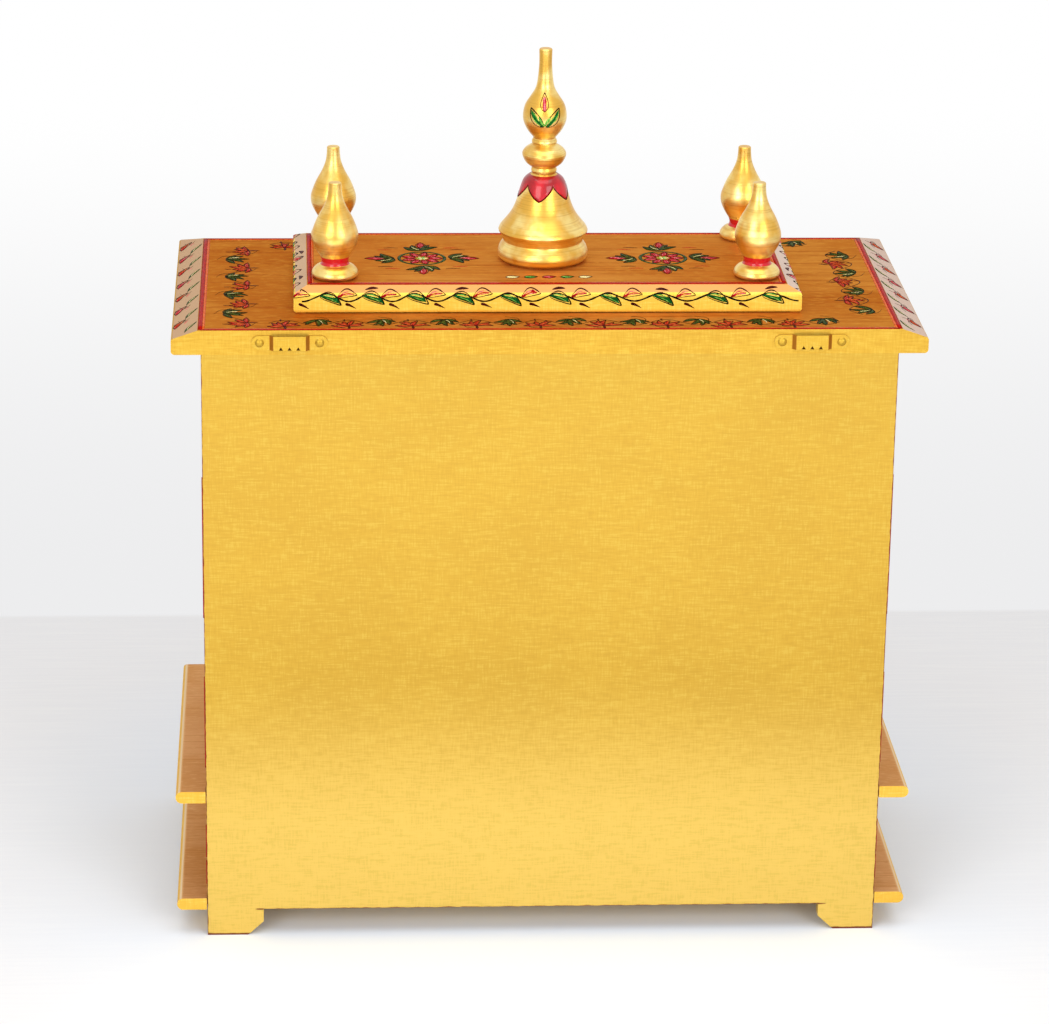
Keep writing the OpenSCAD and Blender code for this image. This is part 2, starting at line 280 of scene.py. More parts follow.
def makePanelPaint(name, spec):
    material, tree, output = newMaterial(name)
    place = addNode(tree, "NewGeometry").outputs["Position"]
    colour, lines = goldColour(tree, place, goldPaint)
    axes = addNode(tree, "SeparateXYZ", None, {"Vector": place})
    height = axes.outputs["Z"]
    # painted light: the panel paler low down, where it reflects the bright floor
    lowLightTone = glaze(tree, spec["pale"], goldPaint["light"], lines, 0.52, 0.38, 0.5)
    colour = glaze(tree, colour, lowLightTone, height, spec["paleFrom"] * mm, spec["paleTo"] * mm, 0.85)
    # distances in from the sides, up from the feet and from the edge between the feet
    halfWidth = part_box("back_panel")[1][0]
    across = addNode(tree, "Math", unsigned, {0: axes.outputs["X"]})
    fromSide = addNode(tree, "Math", minus, {0: halfWidth, 1: across})
    overEdge = addNode(tree, "Math", minus, {0: height, 1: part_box("lower_slab")[0][2]})
    fromEdge = addNode(tree, "Math", unsigned, {0: overEdge})
    betweenFeet = addNode(tree, "MapRange", smooth, {"Value": across, "From Min": halfWidth * 0.86,
                                                     "From Max": halfWidth * 0.85})
    grain = brushGrain(tree, place, (160, 160, 160), 3)
    ragged = addNode(tree, "Math", times, {0: grain, 1: spec["raggedMm"] * mm})
    # darker towards each side, the bottom of the feet and the lower edge between the feet
    for distance, painted, bare, cover in (
            (fromSide, spec["edgeMm"] + 0.5, spec["edgeMm"], 1.0),
            (height, spec["footMm"] + 0.8, spec["footMm"], 1.0),
            (fromEdge, spec["lowerEdgeMm"] + 0.9, spec["lowerEdgeMm"] + 0.3, betweenFeet)):
        raggedDistance = addNode(tree, "Math", plus, {0: distance, 1: ragged})
        colour = glaze(tree, colour, spec["wood"], raggedDistance, painted * mm, bare * mm, cover)
    finishPaint(tree, output, goldPaint, colour, lines)
    return material


# Pressed steel hangers, painted over together with the board. The steps beside the raised middle carry painted
# shade, and the board behind the raised middle carries a painted shadow that shows dark in the notches.
hangerLow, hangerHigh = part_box("hanger_right")
hangerPaint = {
    # the step colour is painted shade, and the bare colour is a painted shadow on the board behind the hanger
    "metallic": 0.7, "roughness": 0.36, "lineSpacing": 0.8, "paintedStepShade": "#A0600C", "bare": "#3E2206",
    "centre": abs(hangerLow[0] + hangerHigh[0]) / 2, "height": (hangerLow[2] + hangerHigh[2]) / 2,
    "stepFrom": 9.5, "stepTo": 11.9, "shadowHalf": 9.0, "shadowDown": 5.2, "shadowUp": 3.8,  # mm from the middle
}


def hangerOffset(tree, place, spec):
    # distance along the board from the middle of the nearer hanger
    along = addNode(tree, "SeparateXYZ", None, {"Vector": place}).outputs["X"]
    fromMiddle = addNode(tree, "Math", unsigned, {0: along})
    past = addNode(tree, "Math", minus, {0: fromMiddle, 1: spec["centre"]})
    return addNode(tree, "Math", unsigned, {0: past})


def shadowBehindHanger(tree, place, spec):
    # 1 where the board lies behind a hanger's raised middle, in its painted shadow
    axes = addNode(tree, "SeparateXYZ", None, {"Vector": place})
    above = addNode(tree, "Math", minus, {0: axes.outputs["Z"], 1: spec["height"]})
    mask = 1.0
    for distance, start, full in ((hangerOffset(tree, place, spec), spec["shadowHalf"] + 0.4, spec["shadowHalf"]),
                                  (above, -spec["shadowDown"], 0.5 - spec["shadowDown"]),
                                  (above, spec["shadowUp"], spec["shadowUp"] - 0.5),
                                  (axes.outputs["Y"], 50, 100)):
        mask = addNode(tree, "MapRange", smooth, {"Value": distance, "From Min": start * mm,
                                                  "From Max": full * mm, "To Max": mask})
    return mask


def makeHangerPaint(name, spec):
    paint = dict(goldPaint, **{key: spec[key] for key in ("metallic", "roughness", "lineSpacing")})
    material, tree, output = newMaterial(name)
    place = addNode(tree, "NewGeometry").outputs["Position"]
    colour, lines = goldColour(tree, place, paint)
    # painted shade: the steps down from the raised middle darker
    offset = hangerOffset(tree, place, spec)
    start, end, blur = spec["stepFrom"] * mm, spec["stepTo"] * mm, 0.3 * mm
    outward = addNode(tree, "MapRange", smooth, {"Value": offset, "From Min": start - blur,
                                                 "From Max": start + blur, "To Max": 0.9})
    colour = glaze(tree, colour, spec["paintedStepShade"], offset, end + blur, end - blur, outward)
    finishPaint(tree, output, paint, colour, lines)
    return material


# Gold paint on the boards. The level faces are brown: partly a brown glaze rubbed on along the board, so the
# grain runs in long streaks about 1.7 mm apart, and partly painted shade where light falls on them at a low
# angle. The sloping ends carry a painted pale reflection, the front and back slopes a peach tint. The upright
# faces stay plain gold.
deckPaint = dict(
    goldPaint, top="#C07A2A", topLight="#D29444", topDark="#AE661A", fleck="#E0A850", streakMm=1.7,
    slope="#D2BEB0", slopeTan="#C6A684", slopeBack="#D89A60", slopeFrom=0.72, levelFrom=0.965,
    metallic=0.9, sideMetallic=0.5, roughness=0.5, edgeTint="#C8803A")


def makeDeckPaint(name, spec, side, behind=None):
    material, tree, output = newMaterial(name)
    geometry = addNode(tree, "NewGeometry")
    place = geometry.outputs["Position"]
    facing = addNode(tree, "SeparateXYZ", None, {"Vector": geometry.outputs["True Normal"]})
    upward, sideward = facing.outputs["Z"], facing.outputs["X"]
    colour, lines = goldColour(tree, place, dict(spec, **side))
    # the sloping edges: a painted pale reflection on each end, tinted differently on the two ends by how light
    # falls on them, and a peach tint front and back
    slope = glaze(tree, spec["slope"], spec["slopeTan"], sideward, -0.1, 0.1)
    lengthways = addNode(tree, "Math", unsigned, {0: sideward})
    slope = glaze(tree, slope, spec["slopeBack"], lengthways, 0.3, 0.15)
    colour = glaze(tree, colour, slope, upward, spec["slopeFrom"], spec["slopeFrom"] + 0.12)
    # the level top: brown glaze and painted shade, with clouds, dark streaks and pale flecks
    streak = 1000 / spec["streakMm"]
    streaks = brushGrain(tree, place, (streak * 0.03, streak, streak), 3)
    clouds = brushGrain(tree, place, (9, 14, 9), 3)
    flecks = brushGrain(tree, place, (170, 700, 170), 3)
    top = glaze(tree, spec["top"], spec["topLight"], clouds, 0.4, 0.65)
    top = glaze(tree, top, spec["topDark"], streaks, 0.52, 0.3, 0.7)
    top = glaze(tree, top, spec["fleck"], flecks, 0.5, 0.72, 0.6)
    sloped, level = spec["levelFrom"], spec["levelFrom"] + 0.02
    colour = glaze(tree, colour, top, upward, sloped, level)
    if behind:
        # painted shadow on the board behind each hanger's raised middle
        bare = shadowBehindHanger(tree, place, behind)
        colour = addNode(tree, "Mix", inColour, {0: bare, 6: colour, 7: hexColour(behind["bare"])})
    relief = addNode(tree, "Mix", None, {0: 0.5, 2: lines, 3: streaks})
    sheen = addNode(tree, "MapRange", smooth, {"Value": upward, "From Min": sloped, "From Max": level,
                                               "To Min": spec["sideMetallic"], "To Max": spec["metallic"]})
    finishPaint(tree, output, spec, colour, relief, sheen)
    return material


# Gold paint on turned wood: the lathe left rings about 0.8 mm apart under it.
turnedPaint = {
    "colour": "#E2B04C", "dark": "#B8822C", "light": "#F7DC8C", "metallic": 0.9, "roughness": 0.32,
    "ringMm": 0.8, "reliefMm": 0.07, "red": "#C4101E", "redRoughness": 0.12,
}


def makeTurnedPaint(name, spec, redFrom=None, redTo=None):
    material, tree, output = newMaterial(name)
    place = addNode(tree, "NewGeometry").outputs["Position"]
    rings = brushGrain(tree, place, (12, 12, 1000 / spec["ringMm"]), 2)
    clouds = brushGrain(tree, place, (60, 60, 60), 3)
    colour = glaze(tree, spec["colour"], spec["light"], clouds, 0.4, 0.66)
    colour = glaze(tree, colour, spec["dark"], rings, 0.5, 0.32, 0.3)
    metallic, roughness = spec["metallic"], spec["roughness"]
    if redFrom is not None:
        # a band of glossy red lacquer in the neck, its edges slightly uneven
        height = addNode(tree, "SeparateXYZ", None, {"Vector": place}).outputs["Z"]
        wander = addNode(tree, "Math", minus, {0: clouds, 1: 0.5})
        uneven = addNode(tree, "Math", {"operation": "MULTIPLY_ADD"}, {0: wander, 1: 1.2 * mm, 2: height})
        under = addNode(tree, "MapRange", smooth, {"Value": uneven, "From Min": redTo,
                                                   "From Max": redTo - 0.3 * mm})
        band = addNode(tree, "MapRange", smooth, {"Value": uneven, "From Min": redFrom,
                                                  "From Max": redFrom + 0.3 * mm, "To Max": under})
        colour = addNode(tree, "Mix", inColour, {0: band, 6: colour, 7: hexColour(spec["red"])})
        metallic = addNode(tree, "MapRange", None, {"Value": band, "To Min": metallic, "To Max": 0.0})
        roughness = addNode(tree, "MapRange", None, {"Value": band, "To Min": roughness,
                                                     "To Max": spec["redRoughness"]})
    relief = addNode(tree, "Bump", None, {"Strength": 0.5, "Distance": spec["reliefMm"] * mm, "Height": rings})
    shader = addNode(tree, "BsdfPrincipled", None, {"Base Color": colour, "Metallic": metallic,
                                                    "Roughness": roughness, "Normal": relief})
    tree.links.new(shader.outputs[0], output.inputs["Surface"])
    return material


tierLow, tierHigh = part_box("upper_tier")
roofLow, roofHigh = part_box("roof_slab")
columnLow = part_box("column_left")[0][2]
neck = (8.2, 13.4)     # mm above the deck, where the corner finials are lacquered red
beads = (60.0, 66.0)   # mm up the column: the bead over the vase, lacquered the same
# base boards: the level tops a pinkish tan and the slopes pale beige, both painted reflection of the pale room
slabPaint = dict(deckPaint, top="#D09C68", topLight="#DAAA7C", topDark="#C48C52", fleck="#E2B88A",
                 edgeTint="#E4BA90", slope="#E6CCA4", slopeTan="#E6CCA4", slopeBack="#DCA850")
tierPaint = dict(deckPaint, top="#CA8436", topLight="#D89A4C", sideMetallic=0.2, slopeBack="#E8A860")

giveMaterial(["back_panel"], makePanelPaint("goldPaintDarkEdgesLowLight", panelEdgesAndLowLight))
giveMaterial(["base_side_left", "base_side_right", "base_front_panel", "front_foot_left", "front_foot_right",
              "front_return_left", "front_return_right", "rear_return_left", "rear_return_right",
              "side_panel_left", "side_panel_right", "plinth_left", "plinth_right", "capital_left",
              "capital_right", "arch_panel"], makeGoldPaint("goldPaintOnBoard"))
giveMaterial(["lower_slab", "middle_slab"],
             makeDeckPaint("goldPaintOnBaseBoards", slabPaint,
                           {"colour": "#E2B446", "thin": "#D6A438", "light": "#F0CE6C"}))
giveMaterial(["roof_slab"],
             makeDeckPaint("brownGlazeAndShadeOnRoof", deckPaint,
                           {"colour": "#C9A13C", "thin": "#B88C2E", "light": "#D6B650"}, hangerPaint))
giveMaterial(["upper_tier"],
             makeDeckPaint("brownGlazeAndShadeOnTier", tierPaint,
                           {"colour": "#F8D558", "thin": "#F0C246", "light": "#FFE87A"}))
giveMaterial(["central_finial"], makeTurnedPaint("goldPaintTurned", turnedPaint))
giveMaterial(["column_left", "column_right"],
             makeTurnedPaint("goldPaintTurnedRedBead", turnedPaint, columnLow + beads[0] * mm,
                             columnLow + beads[1] * mm))
giveMaterial(["finial_back_left", "finial_back_right", "finial_front_left", "finial_front_right"],
             makeTurnedPaint("goldPaintTurnedRedNeck", turnedPaint, tierHigh[2] + neck[0] * mm,
                             tierHigh[2] + neck[1] * mm))
giveMaterial(["hanger_left", "hanger_right", "hanger_nails_left", "hanger_nails_right"],
             makeHangerPaint("goldPaintOnPressedSteel", hangerPaint))
print("finishes made")


# ---- edges: every sawn board has its corners eased by sanding

easedMm = {"default": 0.6, "hanger_left": 0.25, "hanger_right": 0.25}
turnedNames = ["central_finial", "column_left", "column_right", "finial_back_left", "finial_back_right",
               "finial_front_left", "finial_front_right", "hanger_nails_left", "hanger_nails_right"]
for name, piece in nodes.items():
    if name in turnedNames:
        continue
    ease = piece.modifiers.new("easedEdges", "BEVEL")
    ease.width = easedMm.get(name, easedMm["default"]) * mm
    ease.segments = 2
    ease.limit_method = "ANGLE"
    ease.angle_limit = math.radians(38)

# ---- painted decoration: every brush mark is a thin, domed body of enamel laid on its board

enamels = {
    # dark where the brush left it thick, light where the bristles drew it thin
    "redEnamel": ("#9E0810", "#C01820"), "pinkEnamel": ("#CC464E", "#E88C90"),
    "maroonEnamel": ("#3A0C0A", "#521814"),
    "orangeEnamel": ("#CC561E", "#DE7038"), "greenEnamel": ("#0E4A1C", "#1D7A30"),
    "leafLightEnamel": ("#55A63A", "#AEDA6C"), "darkGreenEnamel": ("#223614", "#3A5622"),
    "lineRedEnamel": ("#9A100A", "#B81C12"), "oliveEnamel": ("#3A4014", "#66661E"),
    "brownEnamel": ("#42200A", "#5C3612"), "blackEnamel": ("#160C05", "#281A0C"),
    "paleEnamel": ("#E2CE88", "#F4E8B0"),
}
enamelFinish = {"streakPerMetre": 700, "reliefMm": 0.04, "roughness": 0.24, "specular": 0.015}
lacquer = {"dark": "#9C0612", "light": "#C80E20", "reliefMm": 0.25, "roughness": 0.35, "specular": 0.2,
           "coat": 0.6, "coatRoughness": 0.08}


def makeEnamel(name, dark, light, spec):
    # Brushed household enamel: smooth and glossy, lighter along the bristle streaks
    material, tree, output = newMaterial(name)
    place = addNode(tree, "NewGeometry").outputs["Position"]
    streaks = brushGrain(tree, place, (spec["streakPerMetre"],) * 3, 2)
    colour = glaze(tree, dark, light, streaks, 0.4, 0.7)
    relief = addNode(tree, "Bump", None, {"Strength": 0.3, "Distance": spec["reliefMm"] * mm, "Height": streaks})
    shader = addNode(tree, "BsdfPrincipled", None, {"Base Color": colour, "Normal": relief,
                                                    "Roughness": spec["roughness"],
                                                    "Specular IOR Level": spec["specular"]})
    tree.links.new(shader.outputs[0], output.inputs["Surface"])
    return material


def makeLacquer(name, spec):
    # Thick red lacquer, flooded on: deeper where it pooled, and a clear coat over it gives sharp highlights
    material, tree, output = newMaterial(name)
    place = addNode(tree, "NewGeometry").outputs["Position"]
    pools = brushGrain(tree, place, (160, 160, 90), 2)
    tone = glaze(tree, spec["dark"], spec["light"], pools, 0.38, 0.66)
    relief = addNode(tree, "Bump", None, {"Strength": 0.5, "Distance": spec["reliefMm"] * mm, "Height": pools})
    shader = addNode(tree, "BsdfPrincipled", None, {
        "Base Color": tone, "Coat Normal": relief, "Roughness": spec["roughness"],
        "Specular IOR Level": spec["specular"], "Coat Weight": spec["coat"],
        "Coat Roughness": spec["coatRoughness"]})
    tree.links.new(shader.outputs[0], output.inputs["Surface"])
    return material


paints = {name: makeEnamel(name, *pair, enamelFinish) for name, pair in enamels.items()}
paints["redLacquer"] = makeLacquer("redLacquer", lacquer)
paintNames = list(paints)
draw = random.Random(12)
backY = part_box("back_panel")[1][1] / mm
depsgraph = bpy.context.evaluated_depsgraph_get()


def surfaceOf(name, facing, axis=None, radius=10.0):
    # returns lay(u, v, lift): a point on the node, lift mm off it. u runs to the viewer's right.
    # top: seen from behind, v is the distance in from the back. Upright sides: v is the height.
    # round: u is measured round the axis at the given radius, from the back, and v is the height.
    tree = BVHTree.FromObject(nodes[name], depsgraph)
    low, high = (Vector(corner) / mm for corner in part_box(name))

    def ray(u, v):
        if facing == "top":
            return (-u, backY - v, high.z + 1), (0, 0, -1)
        v = min(max(v, low.z + 0.05), high.z - 0.05)
        if facing == "back":
            return (-u, high.y + 1, v), (0, -1, 0)
        if facing == "front":
            return (u, low.y - 1, v), (0, 1, 0)
        if facing == "left":
            return (low.x - 1, -u, v), (1, 0, 0)
        if facing == "right":
            return (high.x + 1, u, v), (-1, 0, 0)
        turn = u / radius
        out = Vector((-math.sin(turn), math.cos(turn), 0))
        return (axis[0] + out.x * 200, axis[1] + out.y * 200, v), tuple(-out)

    def lay(u, v, lift):
        start, direction = ray(u, v)
        start = Vector(start) * mm
        hit, normal, _, _ = tree.ray_cast(start, Vector(direction))
        if hit is None:
            hit, normal, _, _ = tree.find_nearest(start)
        return hit + normal * lift * mm

    return lay


def newWork(name):
    return {"name": name, "points": [], "faces": [], "tints": []}


def smoothPath(points, steps=5):
    result = []
    last = len(points) - 1
    for i in range(last):
        a, b, c, d = (Vector(points[min(max(j, 0), last)]) for j in (i - 1, i, i + 1, i + 2))
        for k in range(steps):
            t = k / steps
            result.append(0.5 * (2 * b + (c - a) * t + (2 * a - 5 * b + 4 * c - d) * t ** 2
                                 + (3 * b - a - 3 * c + d) * t ** 3))
    result.append(Vector(points[last]))
    return result


def swell(count, widest, head=0.12, lean=1.0):
    # half-widths of a stroke that opens from its head and closes to its tail
    return [widest * max(head, math.sin(math.pi * (0.04 + 0.92 * (i / (count - 1))) ** lean))
            for i in range(count)]


def stroke(work, lay, path, widths, tint, lift=0.12):
    # a closed, lens-shaped body along the path, its edges let into the surface
    if isinstance(widths, (int, float)):
        widths = [widths] * len(path)
    first = len(work["points"])
    for i, point in enumerate(path):
        ahead = Vector(path[min(i + 1, len(path) - 1)]) - Vector(path[max(i - 1, 0)])
        side = Vector((-ahead[1], ahead[0])).normalized() * widths[i]
        u, v = point[0], point[1]
        work["points"] += [lay(u + side[0], v + side[1], -0.02), lay(u, v, lift),
                           lay(u - side[0], v - side[1], -0.02), lay(u, v, -0.1)]
    shade = paintNames.index(tint)
    for i in range(len(path) - 1):
        base = first + 4 * i
        for k in range(4):
            n = (k + 1) % 4
            work["faces"].append((base + k, base + n, base + 4 + n, base + 4 + k))
    end = first + 4 * (len(path) - 1)
    work["faces"] += [(first + 3, first + 2, first + 1, first), (end, end + 1, end + 2, end + 3)]
    work["tints"] += [shade] * (4 * (len(path) - 1) + 2)


def at(origin, heading=0.0):
    # turns a motif's own millimetres into the surface's, heading in degrees
    c, s = math.cos(math.radians(heading)), math.sin(math.radians(heading))
    return lambda x, y: (origin[0] + x * c - y * s, origin[1] + x * s + y * c)


def mark(work, lay, spot, points, width, tint, lift=0.14, lean=1.0):
    path = [spot(p[0], p[1]) for p in smoothPath(points, 4)]
    stroke(work, lay, path, swell(len(path), width, 0.12, lean), tint, lift)


def leaf(work, lay, spot, length, width, tints, filled=0.8, outline=0.34, bend=0.12):
    # one leaf from its base to its tip: brushed fill, lighter streaks, a thin dark outline
    fill, light, dark = tints
    steps = 12

    def rib(t, side):
        half = width * math.sin(math.pi * t ** 0.85) ** 0.8 if 0 < t < 1 else 0.0
        return (length * t, bend * length * math.sin(math.pi * t) + side * half)

    inner = [i / steps * filled + 0.03 for i in range(steps + 1)]
    halves = [max(0.1, 0.92 * width * math.sin(math.pi * t ** 0.85) ** 0.8 * min(1, (filled + 0.06 - t) * 5))
              for t in inner]
    stroke(work, lay, [spot(*rib(t, 0)) for t in inner], halves, fill, 0.12)
    for side, start, end in ((0.4, 0.12, 0.6), (-0.35, 0.3, 0.8)):
        streak = [spot(*rib(start + (end - start) * i / 6, side * (0.8 + 0.3 * draw.random())))
                  for i in range(7)]
        stroke(work, lay, streak, swell(7, 0.16 * width), light, 0.24)
    for side in (1, -1):
        edge = [spot(*rib(i / steps, side)) for i in range(steps + 1)]
        stroke(work, lay, edge, [outline * (0.5 + 0.7 * i / steps) for i in range(steps + 1)], dark, 0.2)


def finishWork(work):
    mesh = bpy.data.meshes.new(work["name"])
    mesh.from_pydata(work["points"], [], work["faces"])
    used = sorted(set(work["tints"]))
    for shade in used:
        mesh.materials.append(paints[paintNames[shade]])
    mesh.polygons.foreach_set("material_index", [used.index(shade) for shade in work["tints"]])
    mesh.polygons.foreach_set("use_smooth", [True] * len(work["faces"]))
    mesh.update()
    piece = bpy.data.objects.new(work["name"], mesh)
    scene.collection.objects.link(piece)
    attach(piece, "root")
    print("painted", work["name"], len(work["faces"]), "faces")


greenLeaf = ("greenEnamel", "leafLightEnamel", "blackEnamel")
redLeaf = ("redEnamel", "pinkEnamel", "maroonEnamel")
deckLeaf = ("darkGreenEnamel", "oliveEnamel", "blackEnamel")
deckPetal = ("redEnamel", "orangeEnamel", "maroonEnamel")

# the vine round the raised tier: mm from the tier's top down to each line of the pattern
tierVine = {
    "crest": 3.3, "trough": 8.0, "dash": 1.7, "drop": 10.4, "stem": 0.62,
    "firstCrest": 20.2, "period": 25.0, "drift": 0.5, "joint": 0.45,
}


def bandVine(work, lay, start, end, topZ, spec):
    # a wavy stem with a green leaf under each crest and a red one over each trough
    middle = topZ - (spec["crest"] + spec["trough"]) / 2
    swing = (spec["trough"] - spec["crest"]) / 2
    turns = [(start + 5, middle - swing)]
    k = 0
    crest = start + spec["firstCrest"]
    while crest < end - 8:
        turns.append((crest, middle + swing))
        k += 1
        following = start + spec["firstCrest"] + spec["period"] * k + spec["drift"] * k * k
        turns.append((min((crest + following) / 2, end - 2), middle - swing))
        crest = following
    path = []
    for a, b in zip(turns, turns[1:]):
        for i in range(9):
            t = i / 9
            path.append((a[0] + (b[0] - a[0]) * t, a[1] + (b[1] - a[1]) * (0.5 - 0.5 * math.cos(math.pi * t))))
    path.append(turns[-1])
    stroke(work, lay, path, [spec["stem"] * (0.75 + 0.4 * draw.random()) for _ in path], "blackEnamel", 0.18)
    for k, (u, v) in enumerate(turns):
        wobble = draw.uniform(-1, 1)
        if v > middle:
            leaf(work, lay, at((u - 5, topZ - spec["crest"] - 1.0), -24 + 3 * wobble), min(14.5, end - u + 3),
                 2.7 + 0.2 * wobble, greenLeaf, 0.84 + 0.12 * draw.random(), 0.36)
            if k % 4 != 1:
                mark(work, lay, at((u - 3, topZ - spec["dash"]), 4 * wobble), [(0, 0), (4, 0.4), (8, 0.1)], 0.55,
                     "maroonEnamel")
        elif u + 6 < end:
            mark(work, lay, at((u - 2, topZ - spec["drop"] + 0.9), -20 + 6 * wobble),
                 [(0, 0), (2.6, 0.2), (7, -0.3)], 1.0, "maroonEnamel", 0.16, 0.55)
            leaf(work, lay, at((u - 7, topZ - spec["trough"] + 2.6), 8 + 4 * wobble), 12, 1.9, redLeaf,
                 0.75 + 0.15 * draw.random(), 0.3)
    # painted shadow: a dark line along the foot of the tier, in the gap where it meets the roof
    base = [(start + (end - start) * i / 40, topZ - 15.3) for i in range(41)]
    stroke(work, lay, base, spec["joint"], "maroonEnamel", 0.1)


tierTop = tierHigh[2] / mm
tierWide = tierHigh[0] / mm
tierBackY, tierFrontY = tierHigh[1] / mm, tierLow[1] / mm
tierWork = newWork("tierBandVine")
for facing in ("back", "front"):
    bandVine(tierWork, surfaceOf("upper_tier", facing), -tierWide, tierWide, tierTop, tierVine)
for facing in ("left", "right"):
    ends = (-tierBackY, -tierFrontY) if facing == "left" else (tierFrontY, tierBackY)
    bandVine(tierWork, surfaceOf("upper_tier", facing), ends[0], ends[1], tierTop, tierVine)
finishWork(tierWork)


def borderLine(work, lay, left, right, near, far, width, soft, rearWidth):
    # a dark red line round a face, wider along the rear, with an orange edge on its inner side
    corners = [(left, near), (right, near), (right, far), (left, far)]
    for i, start in enumerate(corners):
        end = corners[(i + 1) % 4]
        inward = ((0, 1), (-1, 0), (0, -1), (1, 0))[i]
        line = [(start[0] + (end[0] - start[0]) * k / 24, start[1] + (end[1] - start[1]) * k / 24)
                for k in range(25)]
        half = rearWidth if i == 0 else width
        feather = [(p[0] + inward[0] * half * 0.9, p[1] + inward[1] * half * 0.9) for p in line]
        stroke(work, lay, feather, soft, "orangeEnamel", 0.06)
        stroke(work, lay, line, [half * (1 + 0.08 * draw.uniform(-1, 1)) for _ in line], "lineRedEnamel", 0.2)


def flower(work, lay, spot, heading, size, tints=deckPetal):
    # an open fan of petals over a dark heart
    for turn in (-82, -48, -15, 18, 50, 84):
        leaf(work, lay, at(spot, heading + turn + draw.uniform(-8, 8)), size * draw.uniform(0.8, 1.08),
             size * 0.16,
             tints, 0.86, 0.34, draw.uniform(-0.1, 0.22))
    mark(work, lay, at(spot, heading + 180), [(-1, 0), (size * 0.25, 0.3), (size * 0.6, 0)], size * 0.09,
         "maroonEnamel")
    mark(work, lay, at(at(spot, heading)(size * 0.9, size * 0.2), heading), [(0, 0), (2.2, 0.4), (4, 0)], 0.8,
         "maroonEnamel")


def sprig(work, lay, spot, heading, size, tints=deckLeaf):
    # three leaves that open from one point, with a pale touch of light
    for turn, reach in ((-58, 0.85), (-28, 1.0), (0, 1.12), (30, 1.0), (60, 0.85)):
        leaf(work, lay, at(spot, heading + turn + draw.uniform(-8, 8)), size * reach, size * 0.15, tints,
             0.88, 0.36, draw.uniform(-0.1, 0.2))
    mark(work, lay, at(spot, heading + 20), [(2, 0.6), (size * 0.4, 1.2), (size * 0.7, 0.6)], 0.45,
         "paleEnamel", 0.3)


def creeper(work, lay, start, end, bends, swing, size, first="flower", stem="brownEnamel"):
    # a thin curling stem with a flower and a sprig in turn, one in each bend
    run = Vector(end) - Vector(start)
    heading = math.degrees(math.atan2(run.y, run.x))
    step = run.length / bends
    spot = at(start, heading)
    path = [spot(i / 8 * step, swing * math.sin(math.pi * i / 8)) for i in range(bends * 8 + 1)]
    stroke(work, lay, path, 0.42, stem, 0.16)
    for k in range(bends):
        side = 1 if k % 2 == 0 else -1
        centre = spot((k + 0.5) * step, -side * size * 0.6)
        curl = [(-size * 0.5, -1), (-size * 0.2, size * 0.55), (size * 0.3, size * 0.6),
                (size * 0.6, size * 0.2)]
        mark(work, lay, at(centre, heading + (90 if side > 0 else -90)), curl, 0.34, stem, 0.16)
        if (k % 2 == 0) == (first == "flower"):
            flower(work, lay, centre, heading + side * 90, size)
        else:
            sprig(work, lay, centre, heading + side * 90, size * 1.1)


# the border on the roof board, in mm: the red line's half-width, the creepers and their flowers
roofBorder = {
    "bevel": 15.7, "line": 1.7, "flower": 11.5, "swing": 7,
    "leftIn": 22, "leftRun": (6, 180), "leftBends": 9,   # left as seen from behind
    "rightIn": 20, "rightRun": (30, 168), "rightBends": 7,
    "stripIn": 15, "stripBends": 18, "stripFlower": 11,
}
roofWide = roofHigh[0] / mm - roofBorder["bevel"]
roofDeep = (roofHigh[1] - roofLow[1]) / mm - roofBorder["bevel"]
roofTop = surfaceOf("roof_slab", "top")
roofWork = newWork("roofBorder")
inset = roofBorder["line"]
borderLine(roofWork, roofTop, -roofWide + inset, roofWide - inset, inset, roofDeep - inset, inset, 1.5, inset)
leftX, rightX = -roofWide + roofBorder["leftIn"], roofWide - roofBorder["rightIn"]
creeper(roofWork, roofTop, (leftX, roofBorder["leftRun"][0]), (leftX, roofBorder["leftRun"][1]),
        roofBorder["leftBends"], -roofBorder["swing"], roofBorder["flower"])
creeper(roofWork, roofTop, (rightX, roofBorder["rightRun"][0]), (rightX, roofBorder["rightRun"][1]),
        roofBorder["rightBends"], roofBorder["swing"], roofBorder["flower"], "sprig")
for depth in (roofBorder["stripIn"], roofDeep - roofBorder["stripIn"]):
    creeper(roofWork, roofTop, (leftX + 20, depth), (rightX - 16, depth), roofBorder["stripBends"], 5.5,
            roofBorder["stripFlower"])


# two rows of short strokes down each sloping edge of the roof board, in mm
slopeMarks = {"step": 28, "first": 12, "outer": 10.5, "inner": 4.2}


def markSlope(work, lay, side, spec):
    # dark leaves near the red line, red sprigs and thin curls near the rim
    for k in range(int((roofDeep - 10) / spec["step"]) + 1):
        near = spec["first"] + spec["step"] * k
        lean = 90 + side * 26
        inner = (side * (roofWide + spec["inner"]), near)
        outer = (side * (roofWide + spec["outer"]), near + spec["step"] * 0.45)
        mark(work, lay, at(inner, lean), [(-8, 0), (-1, 1.0), (8, 0)], 1.5, "darkGreenEnamel", 0.16, 1.2)
        mark(work, lay, at(inner, lean), [(-4, 0.2), (0, 0.9), (5, 0.3)], 0.4, "paleEnamel", 0.26)
        leaf(work, lay, at(at(outer, lean)(-7, 0), lean), 14, 1.9, redLeaf if k % 2 else deckPetal, 0.7, 0.4)
        for turn in (20, -30):
            mark(work, lay, at(outer, lean + turn), [(-8, 2), (-2, 4.0), (3, 0.6), (8, 2.4)], 0.36,
                 "brownEnamel")
        mark(work, lay, at((side * (roofWide + 7), near + 13), lean), [(-2.5, 0), (0, 0.4), (2.5, 0)], 0.5,
             "pinkEnamel")


